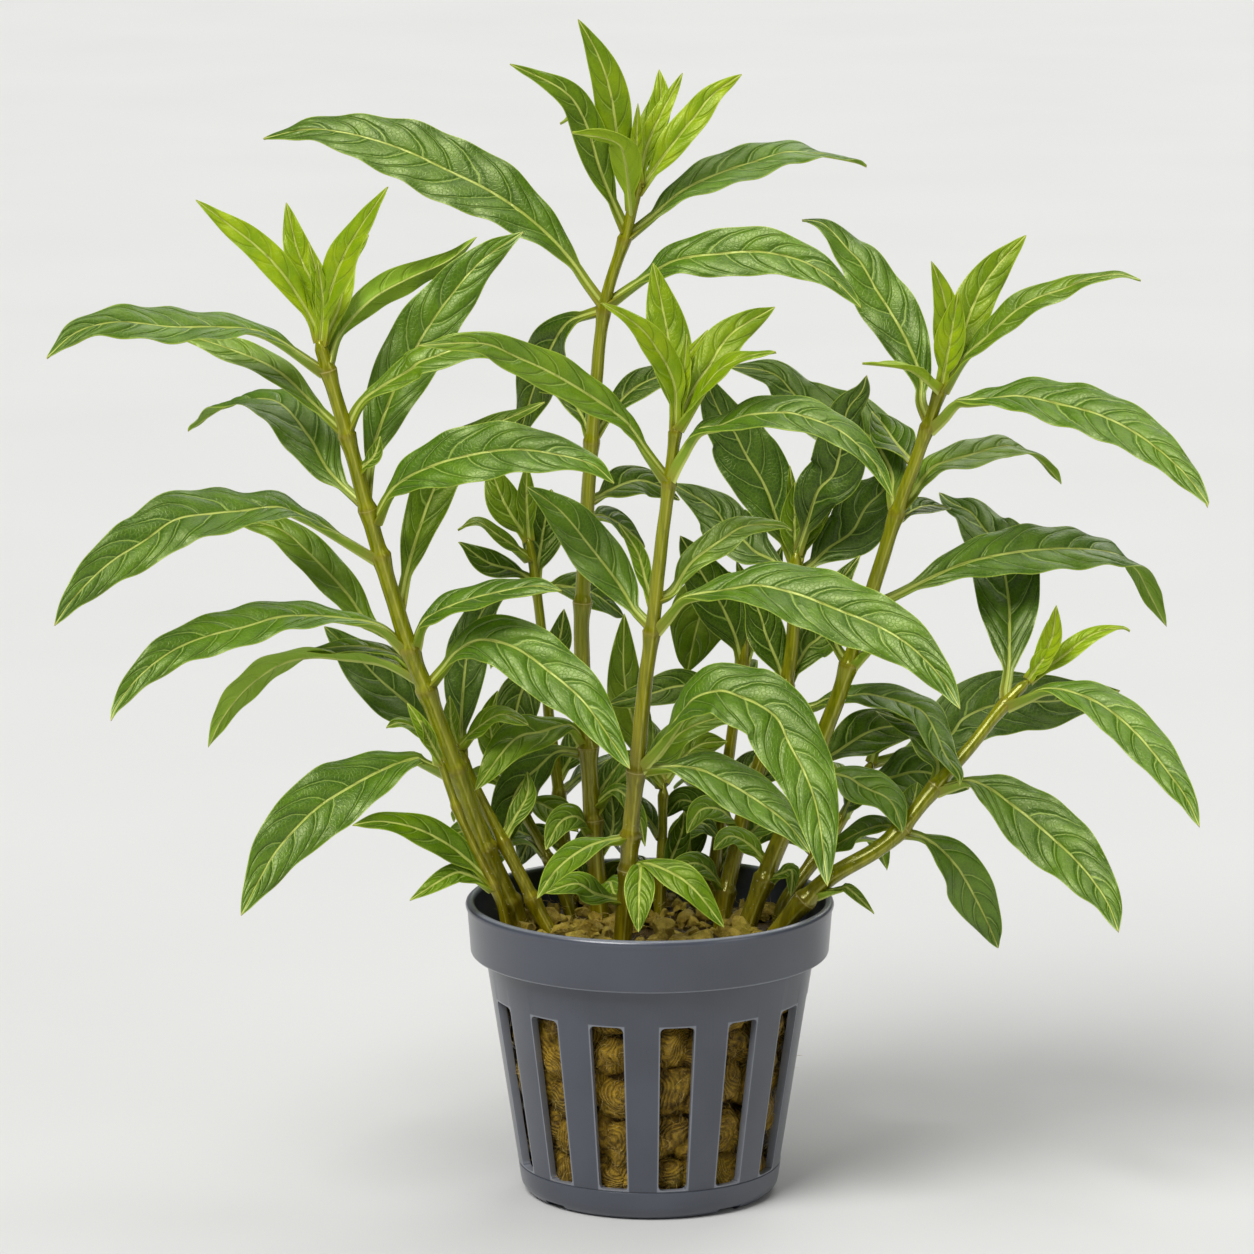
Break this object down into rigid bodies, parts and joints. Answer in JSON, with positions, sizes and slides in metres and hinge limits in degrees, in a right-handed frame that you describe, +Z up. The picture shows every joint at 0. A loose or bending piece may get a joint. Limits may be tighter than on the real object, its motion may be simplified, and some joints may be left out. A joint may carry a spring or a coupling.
{
  "type": "potted temple plant",
  "caption": "Bushy aquarium plant with upright leafy stems and long arching lance-shaped leaves, rooted in rock wool in a round slotted net pot.",
  "frame": {"origin": "centre of the pot's underside, where it stands", "axes": "+Z up along the pot's axis, -Y towards the front, +X to the right as seen from the front"},
  "size_m": [0.1656, 0.086, 0.1756],
  "materials": {
    "leaf_green": "satin waxy leaf",
    "stem_olive": "smooth living stem, with the young leaves grown on it",
    "pot_plastic": "satin moulded plastic",
    "rock_wool": "matte fibrous"
  },
  "bodies": {
    "root": {"pot": "pot_plastic", "growing_medium": "rock_wool", "stem_left": "stem_olive", "stem_left_thin": "stem_olive", "stem_low_left": "stem_olive", "stem_low_back_left": "stem_olive", "stem_middle": "stem_olive", "stem_tall": "stem_olive", "stem_front": "stem_olive", "stem_back_right": "stem_olive", "stem_back_left": "stem_olive", "stem_back": "stem_olive", "stem_right": "stem_olive", "stem_low_right": "stem_olive", "stem_side_back": "stem_olive", "leaf_left_01": "leaf_green", "leaf_left_02": "leaf_green", "leaf_left_03": "leaf_green", "leaf_left_04": "leaf_green", "leaf_left_05": "leaf_green", "leaf_left_06": "leaf_green", "leaf_left_07": "leaf_green", "leaf_left_08": "leaf_green", "leaf_left_09": "leaf_green", "leaf_left_10": "leaf_green", "leaf_left_11": "leaf_green", "leaf_left_12": "leaf_green", "leaf_left_13": "leaf_green", "leaf_left_14": "leaf_green", "leaf_left_15": "leaf_green", "leaf_left_16": "leaf_green", "leaf_tall_01": "leaf_green", "leaf_tall_02": "leaf_green", "leaf_tall_03": "leaf_green", "leaf_tall_04": "leaf_green", "leaf_front_01": "leaf_green", "leaf_front_02": "leaf_green", "leaf_front_03": "leaf_green", "leaf_front_04": "leaf_green", "leaf_front_05": "leaf_green", "leaf_front_06": "leaf_green", "leaf_front_07": "leaf_green", "leaf_back_right_01": "leaf_green", "leaf_back_right_02": "leaf_green", "leaf_back_right_03": "leaf_green", "leaf_back_right_04": "leaf_green", "leaf_back_right_05": "leaf_green", "leaf_right_01": "leaf_green", "leaf_right_02": "leaf_green", "leaf_right_03": "leaf_green", "leaf_right_04": "leaf_green", "leaf_right_05": "leaf_green", "leaf_right_06": "leaf_green", "leaf_right_07": "leaf_green", "leaf_low_right_01": "leaf_green", "leaf_low_right_02": "leaf_green", "leaf_low_right_03": "leaf_green", "leaf_low_right_04": "leaf_green", "leaf_side_back_01": "leaf_green", "leaf_side_back_02": "leaf_green"}
  },
  "joints": []
}
